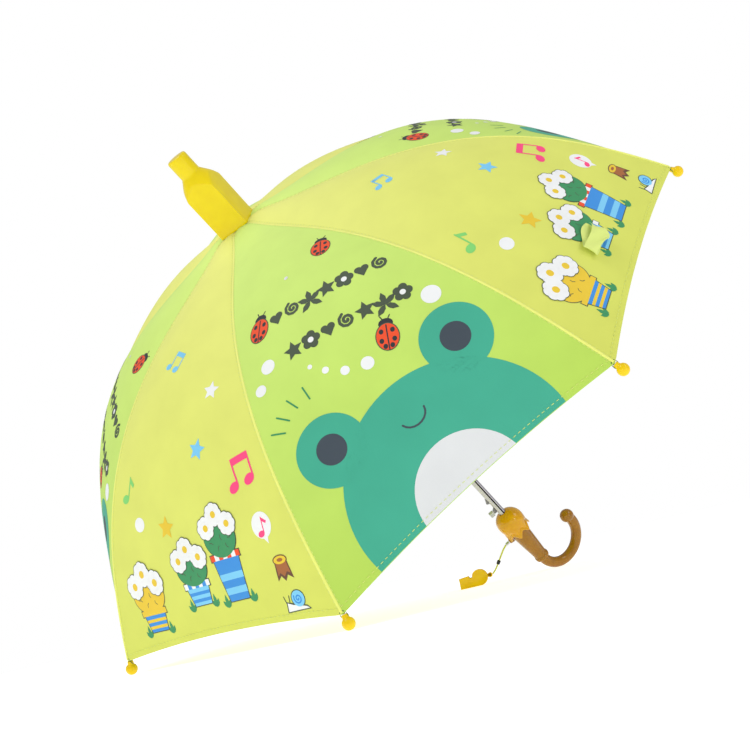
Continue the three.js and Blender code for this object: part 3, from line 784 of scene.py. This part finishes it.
tip_profile = [
    (0, 0.02), (2.3, 0.02), (2.6, 0.3), (2.78, 0.9), (2.85, 2.4), (3.0, 3.3), (3.5, 3.9), (4.2, 4.5), (4.9, 5.4),
    (5.4, 6.6), (5.65, 7.9), (5.6, 9.2), (5.2, 10.6), (4.5, 11.9), (3.5, 12.95), (2.3, 13.65), (1.2, 14.0),
    (0, 14.08)]
rib_under, thread_ring, thread_r = 2.3 * mm, 3.25 * mm, 0.3 * mm
end_slope = slope(1.0)
end_r, end_z, _ = along(1.0)
tip_from = Vector((end_r - rib_under * sin(end_slope), 0, end_z - rib_under * cos(end_slope)))
tip_way = Vector((cos(end_slope), 0, -sin(end_slope)))
for k in range(1, 9):
    turn = Matrix.Rotation(radians(22.5 + 45 * (k - 1)), 4, "Z")
    bm = lathe(tip_profile, 40)
    leant = Matrix.Rotation(pi / 2 + end_slope, 4, "Y")
    bm.transform(turn @ Matrix.Translation(tip_from + 0.3 * mm * tip_way) @ leant)
    tip = made_piece(f"rib_tip_{k}", bm, tip_pp, sharp=50)
    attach(tip, f"rib_{k}")
    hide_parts(f"tip_{k}")
    # three turns of thread, which lean further up towards the cloth's corner one after another
    bm = bmesh.new()
    for n, (back, spread) in enumerate(((1.2, 3.2), (2.4, 4.2), (3.6, 5.4))):
        centre = tip_from + 1.6 * mm * tip_way - back * 0.3 * mm * tip_way
        ring = []
        for i in range(17):
            a = 2 * pi * i / 16
            slip = 0.5 * n - 0.4 * spread * (1 if sin(a) > 0.3 else 0)
            round_cap = Vector((0, thread_ring * cos(a), thread_ring * sin(a)))
            ring.append(turn @ (centre + round_cap + tip_way * mm * slip))
        loop = skin(ring, [thread_r] * 17, sides=6)
        scratch = bpy.data.meshes.new("scratch")
        loop.to_mesh(scratch)
        loop.free()
        bm.from_mesh(scratch)
        bpy.data.meshes.remove(scratch)
    tie = made_piece(f"corner_thread_{k}", bm, green_thread, sharp=70)
    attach(tie, f"rib_{k}")

# ---------------------------------------------------------------- ribs and stretchers
# Fluted steel strip, blackened. It has a soft dark shine, and small bright scuffs where it has been folded.
# They are carried over from the frame as they are.
black_steel = finish_named("blackened_steel_strip")
spot = add(black_steel, "TexCoord").outputs["Object"]
scuff = add(black_steel, "TexNoise", {"Vector": spot, "Scale": 1 / (2.5 * mm), "Detail": 6.0, "Roughness": 0.7})
worn = add(black_steel, "MapRange", {"Value": scuff.outputs["Fac"], "From Min": 0.6, "From Max": 0.75})
tone = add(black_steel, "Mix", {0: worn.outputs[0], 6: linear("#2B2C2E"), 7: linear("#6E7072")},
           data_type="RGBA")
gloss = add(black_steel, "MapRange", {"Value": scuff.outputs["Fac"], "To Min": 0.3, "To Max": 0.5})
drawn = add(black_steel, "Bump", {"Height": scuff.outputs["Fac"], "Strength": 0.3, "Distance": 0.05 * mm})
body = add(black_steel, "BsdfPrincipled", {
    "Base Color": tone.outputs[2], "Metallic": 0.85, "Roughness": gloss.outputs[0],
    "Normal": drawn.outputs["Normal"]})
add(black_steel, "OutputMaterial", {"Surface": body.outputs[0]})
steel_nodes = [f"{kind}_{k}" for kind in ("rib", "stretcher") for k in range(1, 9)]
for node in steel_nodes + ["drive_pin", "opening_spring"]:
    for slot in frame["nodes"][node].material_slots:
        slot.material = black_steel

# ---------------------------------------------------------------- shaft
# A steel tube rolled from strip, chromed and polished. Its two edges don't meet, so an open dark seam runs
# down its whole length, and a window is pierced in it for the catch.
# chrome over polished steel: a bright mirror, a little blurred by fine scratches
chrome = finish_named("bright_chromed_steel")
spot = add(chrome, "TexCoord").outputs["Object"]
polish = add(chrome, "TexNoise", {"Vector": spot, "Scale": 1 / (1.5 * mm), "Detail": 5.0})
gloss = add(chrome, "MapRange", {"Value": polish.outputs["Fac"], "To Min": 0.14, "To Max": 0.28})
tone = add(chrome, "Mix", {0: polish.outputs["Fac"], 6: linear("#A8A4AA"), 7: linear("#CCC7CD")},
           data_type="RGBA")
body = add(chrome, "BsdfPrincipled", {
    "Base Color": tone.outputs[2], "Metallic": 1.0, "Roughness": gloss.outputs[0]})
add(chrome, "OutputMaterial", {"Surface": body.outputs[0]})

# the tube's radius, and half the angle of its open seam; heights in millimetres below the apex
tube_r, gap_half = 4.5 * mm, asin(0.9 / 4.5)
seam_at, latch_at, window_half = radians(-29.5), radians(-135.2), radians(17)
tube_foot, window_low, window_top, tube_mid, tube_top = -565, -483, -452, -200, 66
bm = bmesh.new()
edge_x, edge_y = tube_r * cos(seam_at + gap_half), tube_r * sin(seam_at + gap_half)
heights = (tube_foot, window_low, window_top, tube_mid, tube_top)
verts = [bm.verts.new((edge_x, edge_y, z * mm)) for z in heights]
edges = [bm.edges.new(pair) for pair in zip(verts, verts[1:])]
bmesh.ops.spin(bm, geom=[*verts, *edges], axis=(0, 0, 1), cent=(0, 0, 0), angle=2 * pi - 2 * gap_half,
               steps=96, use_merge=False, use_duplicate=False)
bmesh.ops.recalc_face_normals(bm, faces=bm.faces)
bm.normal_update()
first = bm.faces[:][0]
if first.normal.dot(first.calc_center_median() * Vector((1, 1, 0))) < 0:
    bmesh.ops.reverse_faces(bm, faces=bm.faces)


def in_window(f):
    """Whether a face lies where the catch's window is pierced."""
    c = f.calc_center_median()
    off = (atan2(c.y, c.x) - latch_at + pi) % (2 * pi) - pi
    return abs(off) < window_half and window_low * mm < c.z < window_top * mm


bmesh.ops.delete(bm, geom=[f for f in bm.faces if in_window(f)], context="FACES")
bmesh.ops.solidify(bm, geom=bm.faces, thickness=0.6 * mm)
shaft = made_piece("chromed_shaft", bm, chrome, sharp=40)
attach(shaft, "frame")
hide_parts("shaft")
for slot in frame["nodes"]["cord_ferrule"].material_slots:
    slot.material = chrome

# the catch's flat steel spring is only zinc plated, so it is greyer and duller than the shaft
zinc = finish_named("zinc_plated_spring_steel")
spot = add(zinc, "TexCoord").outputs["Object"]
spangle = add(zinc, "TexNoise", {"Vector": spot, "Scale": 1 / (0.8 * mm), "Detail": 4.0})
tone = add(zinc, "Mix", {0: spangle.outputs["Fac"], 6: linear("#6E6C70"), 7: linear("#8C898E")},
           data_type="RGBA")
gloss = add(zinc, "MapRange", {"Value": spangle.outputs["Fac"], "To Min": 0.3, "To Max": 0.5})
body = add(zinc, "BsdfPrincipled", {
    "Base Color": tone.outputs[2], "Metallic": 1.0, "Roughness": gloss.outputs[0]})
add(zinc, "OutputMaterial", {"Surface": body.outputs[0]})
for slot in frame["nodes"]["catch_plate"].material_slots:
    slot.material = zinc

# ---------------------------------------------------------------- crown and runner
# Two notched hubs of black nylon, nearly matt. A wire in each one's groove holds the eyes of the ribs or
# stretchers. The crown is pinned to the shaft, and the runner slides on it.
def notched(profile, reach, width):
    """A hub spun from its profile, with eight notches cut in from its rim for the ribs."""
    bm = lathe(profile, 128, closed=True)
    for v in bm.verts:
        r, a = hypot(v.co.x, v.co.y), atan2(v.co.y, v.co.x)
        off = (a - radians(22.5) + half_gore) % (pi / 4) - half_gore
        if r > reach * mm and abs(off) * r < width * mm:
            v.co.xy *= reach * mm / r
    return bm


crown_rows = [
    (4.85, -15.6), (12.9, -15.6), (13.4, -16.0), (13.4, -16.9), (13.0, -17.25), (8.1, -17.4), (7.6, -17.9),
    (7.6, -24.1), (8.0, -24.6), (10.0, -24.8), (10.2, -25.1), (10.2, -26.3), (7.4, -29), (4.85, -29)]
crown = made_piece("crown_hub", notched(crown_rows, 9.2, 1.5), black_pp)
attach(crown, "frame")
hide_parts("crown")
runner_pivot = -214.34  # the pivots' height when the umbrella is open
runner_rows = [(r, runner_pivot + up) for r, up in (
    (4.85, 6), (7.9, 6), (8.4, 5.8), (9.4, 4.8), (9.4, 3.5), (9.1, 3.1), (7.9, 3.0), (7.6, 2.7), (7.6, -3.1),
    (7.9, -3.5), (13.1, -3.6), (13.4, -3.9), (13.4, -5.2), (12.9, -5.7), (10.0, -6.9), (9.8, -7.4), (9.8, -20),
    (9.45, -20.6), (9.45, -23.4), (9.8, -24), (9.8, -35.6), (9.5, -36), (8.3, -36), (8.1, -35.7),
    (8.1, -34.5), (8.8, -34.5), (8.8, -16), (4.85, -14))]
runner = made_piece("runner_hub", notched(runner_rows, 10.4, 2.6), black_pp)
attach(runner, "runner")
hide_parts("runner")

# ---------------------------------------------------------------- rain cover
# Telescoping sleeves of blow-moulded polyethylene, collapsed on the ferrule. The outer one is four-sided, with
# a fine bead down each rounded ridge, and its round shoulder runs into a neck. The plastic is glossy and bright
# yellow, and lets some light in, so it glows a little from inside.
cover_pe = moulded_plastic("blow_moulded_yellow_polyethylene", "#F3DC10", "#E6CA06", roughness=0.3, coat=0.2,
                           grain=2.4, depth=0.3)
shader = next(n for n in cover_pe.node_tree.nodes if n.type == "BSDF_PRINCIPLED")
shader.inputs["Subsurface Weight"].default_value = 0.12
shader.inputs["Subsurface Scale"].default_value = 2 * mm
shader.inputs["Subsurface Radius"].default_value = (1.0, 0.8, 0.2)

# in millimetres, but for the ridges' turn in degrees
neck_r, ridge_r, ridge_turn, bead_high = 11.1, 24.2, 24, 0.8
outline_blend = 44


def ridged(a, power=12):
    """How far out a rounded square is at an azimuth, as a share of how far its sharp corners would be."""
    off = (a + radians(ridge_turn)) % (pi / 2) - pi / 4
    return 1 / ((cos(off) / sqrt(0.5)) ** power + 1) ** (1 / power)


cover_rows = [(0, 74.0), (8.2, 74.0), (9.6, 73.8), (10.5, 73.2), (11.0, 72.2), (neck_r, 71.0)]
cover_rows += [(neck_r, 71 - 2 * i) for i in range(1, 9)]
for t in range(13):
    shoulder = neck_r + (ridge_r - neck_r) * t / 12 + 0.25 * sin(pi * t / 12)
    cover_rows.append((shoulder, 53.5 - 19.0 * t / 12))
cover_rows += [(ridge_r, z) for z in (33, 30, 26, 22, 10, -1.5, -10.5)]
cover_rows += [(24.4, -11.2), (24.4, -12.9), (24.1, -13.4)]
bm = lathe(cover_rows, 288)
for v in bm.verts:
    r, a, z = hypot(v.co.x, v.co.y) / mm, atan2(v.co.y, v.co.x), v.co.z / mm
    if r > 0.01:
        off_corner = (a + radians(ridge_turn + 45)) % (pi / 2) - pi / 4
        ridge_bead = bead_high * exp(-(off_corner / 0.05) ** 2) * smooth((r - 13) / 6)
        square = ridge_r * ridged(a) + max(0.0, r - ridge_r) + ridge_bead
        neck = r * (1 - 0.12 * smooth((z - 44) / 12) * (1 - ridged(a, 6)))
        # the nearer of the two outlines, with a soft turn from one to the other
        v.co.xy *= 1 / (neck ** -outline_blend + square ** -outline_blend) ** (1 / outline_blend) / r
bmesh.ops.solidify(bm, geom=bm.faces, thickness=1.2 * mm)
cover = made_piece("rain_cover_sleeve", bm, cover_pe, sharp=40)
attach(cover, "frame")
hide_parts("cover_outer")

nested_rows = [
    (22.5, 27.6), (22.5, -9.6), (22.2, -10.2), (21.6, -10.2), (21.5, -9.6), (21.5, 27.6), (21.7, 28.0),
    (22.3, 28.0)]
nested = lathe(nested_rows, 96, closed=True)
for v in nested.verts:
    v.co.xy *= ridged(atan2(v.co.y, v.co.x))
inner = made_piece("rain_cover_nested_sleeve", nested, cover_pe, sharp=40)
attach(inner, "frame")
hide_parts("cover_inner")

# ---------------------------------------------------------------- catch and push button
# The button is a square cap of light grey ABS, pressed on the spring catch. Its front is dished, and it shines
# softly.
grey_abs = moulded_plastic("moulded_light_grey_abs", "#C4C3C8", "#AEADB2", roughness=0.3)
bm = bmesh.new()
bmesh.ops.create_cube(bm, size=1, matrix=Matrix.Diagonal((6 * mm, 5.6 * mm, 6.2 * mm, 1)))
front = [f for f in bm.faces if f.normal.x > 0.9]
bmesh.ops.inset_region(bm, faces=front, thickness=0.9 * mm, depth=-0.35 * mm, use_even_offset=True)
rims = [e for e in bm.edges if e.calc_face_angle(0) > radians(20)]
bmesh.ops.bevel(bm, geom=rims, offset=0.45 * mm, offset_type="OFFSET", segments=3, profile=0.5, affect="EDGES",
                material=-1, clamp_overlap=True)
bm.transform(Matrix.Rotation(latch_at, 4, "Z") @ Matrix.Translation((11.2 * mm, 0, -479 * mm)))
button = made_piece("push_button", bm, grey_abs, sharp=50)
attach(button, "catch")
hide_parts("push_button")

# ---------------------------------------------------------------- handle
# An ice-cream cone in two colours of ABS: an amber scoop that drips over a tan cone, and a tan crook that
# ends in a ball. The crook is a separate moulding, pressed in the cone below its ring. All are highly polished.
amber_abs = moulded_plastic("glossy_amber_abs", "#E4A800", "#C48500", roughness=0.14, coat=0.5)
tan_abs = moulded_plastic("glossy_tan_abs", "#A87212", "#8E5C08", roughness=0.14, coat=0.5)
scoop_r, scoop_mid, drips, drip_deep = 18.3, -505, 7, 7.6
scoop_rows = [(4.9, -487.3)]
for t in range(74, -34, -6):
    scoop_rows.append((scoop_r * cos(radians(t)), scoop_mid + scoop_r * sin(radians(t))))
scoop_rows += [(17.6, -516.2), (17.3, -517.0), (17.1, -517.6), (16.2, -517.6), (15.4, -517.0), (13.4, -516.0),
               (13.4, -500.1), (4.9, -500.1)]
bm = lathe(scoop_rows, 224, closed=True)
for v in bm.verts:
    r, a, z = hypot(v.co.x, v.co.y), atan2(v.co.y, v.co.x), v.co.z / mm
    tooth = 1 - abs(((a - latch_at) * drips / (2 * pi)) % 1.0 - 0.5) * 2
    drip = 0.4 * smooth(tooth) + 0.6 * tooth ** 1.4
    low = smooth((-506 - z) / 11) if r > 14.5 * mm else 0.0
    v.co.z -= drip_deep * mm * low * drip
    v.co.xy *= 1 + low * (0.05 * drip - 0.02)
scoop = made_piece("dripping_scoop", bm, amber_abs, sharp=50)
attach(scoop, "frame")
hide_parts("scoop")

cone_rows = [(4.9, -500.5), (12.5, -500.5), (12.9, -500.9), (12.9, -518)]
cone_rows += [(12.9 - 4.2 * i / 8, -518 - 55 * i / 8) for i in range(1, 9)]
cone_rows += [(9.0, -573.6), (9.6, -574.2), (9.85, -575.2), (9.9, -576.8), (9.7, -578.3), (9.2, -579.4),
              (8.2, -580.0), (0, -580.0), (0, -566.2), (4.9, -566.2)]
cone = made_piece("tapered_cone", lathe(cone_rows, 64, closed=True), tan_abs, sharp=45)
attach(cone, "frame")
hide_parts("cone")

# in millimetres: the bend's radius, its start, the crook's thickness as a radius, and its ball's radius
bend_r, crook_top, crook_r, ball = 31.9, -580.3, 7.0, 9.1
bend_turn = 197
hook_way = Vector((cos(radians(62.5)), sin(radians(62.5)), 0))


def on_crook(t, past=0.0):
    """A point of the crook's centre line: a share t of the bend, and then straight on for past millimetres."""
    turn = radians(bend_turn) * t
    at = hook_way * bend_r * (1 - cos(turn)) + Vector((0, 0, crook_top - bend_r * sin(turn)))
    return (at + past * (hook_way * sin(turn) - Vector((0, 0, cos(turn))))) * mm


line, radii = [on_crook(0)], [6.2 * mm]
for i in range(56):
    t = 0.004 + 0.996 * i / 56 * (1 - degrees(6.2 / bend_r) / bend_turn)
    line.append(on_crook(t))
    radii.append((crook_r + 0.15 * smooth(1 - t * 6)) * mm)
for i in range(1, 18):
    past = -ball + 2 * ball * i / 18
    line.append(on_crook(1, past) if past > 0 else on_crook(1 + degrees(past / bend_r) / bend_turn))
    ring = sqrt(max(0.0, ball * ball - past * past))
    radii.append(max(ring, crook_r if past < 0 else 0.0) * mm)
line.append(on_crook(1, ball * 0.995))
radii.append(0.9 * mm)
crook = made_piece("crook", skin(line, radii, sides=40), tan_abs, sharp=50)
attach(crook, "frame")
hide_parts("hook")
for slot in frame["nodes"]["cord_tab"].material_slots:
    slot.material = tan_abs

# ---------------------------------------------------------------- tie strap
# The strap that wraps the closed umbrella, cut from the lime cloth. It is sewn to one yellow gore and lies in a
# crumpled loop, open at one side. It is matt, and its colour is the lime cloth's made paler all over: painted
# light, for where it turns to the light.
# painted light: a paler copy of the lime cloth
strap_cloth_painted_light = woven("lime_strap_pongee_painted_light", "#E4F090", "#DCEB82")
strap_down, strap_across = 0.889, -0.153
bm = bmesh.new()
bmesh.ops.create_grid(bm, x_segments=48, y_segments=14, size=0.5)
layer = bm.loops.layers.uv.verify()
spots = {}
base_w = half_width(strap_down)
for v in bm.verts:
    around, wide = 2 * pi * (v.co.x + 0.5) * 0.93 + 0.25, v.co.y
    crease = 1.6 * sin(3 * around + 5 * wide) + 1.1 * sin(7 * wide + 2 * around)
    along_strap = 17.0 * cos(around) + 2.0 * crease * wide
    high = 5.4 + 4.6 * sin(around) * (0.65 + 0.35 * cos(around)) + 0.5 * crease
    down = 22.0 * wide * (0.82 + 0.22 * cos(around + 0.6)) + 2.4 * sin(around) + 1.4 * sin(2 * around)
    spots[v] = (v.co.x * 0.1, 0.4 + v.co.y * 0.022)
    s, share = strap_down + down * mm / RIB_LENGTH, strap_across + along_strap * mm / base_w
    v.co = on_gore(s, share, max(0.9, high) * mm, 0.0)
for f in bm.faces:
    for loop in f.loops:
        loop[layer].uv = spots[loop.vert]
bmesh.ops.solidify(bm, geom=bm.faces, thickness=0.4 * mm)
strap = name_the_cut(made_piece("tie_strap_bunch", bm, strap_cloth_painted_light, sharp=70))
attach(strap, "panel_8b")
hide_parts("tie_strap")

# ---------------------------------------------------------------- floor and light
# A matt white floor in a white room. A large soft light stands high on the camera's left and a weaker one high
# on its right. A small one, low on its right, gives the glossy plastics their sparkle.
floor_paint = finish_named("matt_white_floor")
spot = add(floor_paint, "TexCoord").outputs["Object"]
mottle = add(floor_paint, "TexNoise", {"Vector": spot, "Scale": 3.0, "Detail": 2.0})
tone = add(floor_paint, "Mix", {0: mottle.outputs["Fac"], 6: linear("#FBFBFB"), 7: linear("#FFFFFF")},
           data_type="RGBA")
body = add(floor_paint, "BsdfPrincipled", {
    "Base Color": tone.outputs[2], "Roughness": 0.9, "Specular IOR Level": 0.1,
    "Emission Color": (1, 1, 1, 1), "Emission Strength": 0.6})
add(floor_paint, "OutputMaterial", {"Surface": body.outputs[0]})
bm = bmesh.new()
bmesh.ops.create_grid(bm, x_segments=1, y_segments=1, size=20)
floor = made_piece("floor", bm, floor_paint, upright=False)

world = bpy.data.worlds.new("white_room")
bpy.context.scene.world = world
world.use_nodes = True
nodes, links = world.node_tree.nodes, world.node_tree.links
sky, white = nodes["Background"], nodes.new("ShaderNodeBackground")
sky.inputs["Color"].default_value, sky.inputs["Strength"].default_value = (1, 1, 1, 1), 0.49
white.inputs["Color"].default_value, white.inputs["Strength"].default_value = (1, 1, 1, 1), 1.0
path, mix = nodes.new("ShaderNodeLightPath"), nodes.new("ShaderNodeMixShader")
links.new(path.outputs["Is Camera Ray"], mix.inputs[0])
links.new(sky.outputs[0], mix.inputs[1])
links.new(white.outputs[0], mix.inputs[2])
links.new(mix.outputs[0], nodes["World Output"].inputs["Surface"])

for name, at, size, power in (
        ("soft_key", (-0.5, -1.7, 2.8), 1.5, 30),
        ("soft_side", (2.4, 0.4, 2.0), 1.2, 9),
        ("small_sparkle", (1.93, -0.27, 0.36), 0.16, 2.8)):
    light = bpy.data.objects.new(name, bpy.data.lights.new(name, "AREA"))
    light.data.shape, light.data.size, light.data.energy = "DISK", size, power
    light.location = at
    light.rotation_mode = "QUATERNION"
    light.rotation_quaternion = (Vector((0, 0, 0.25)) - Vector(at)).to_track_quat("-Z", "Y")
    bpy.context.scene.collection.objects.link(light)
bpy.context.scene.view_settings.view_transform = "Standard"
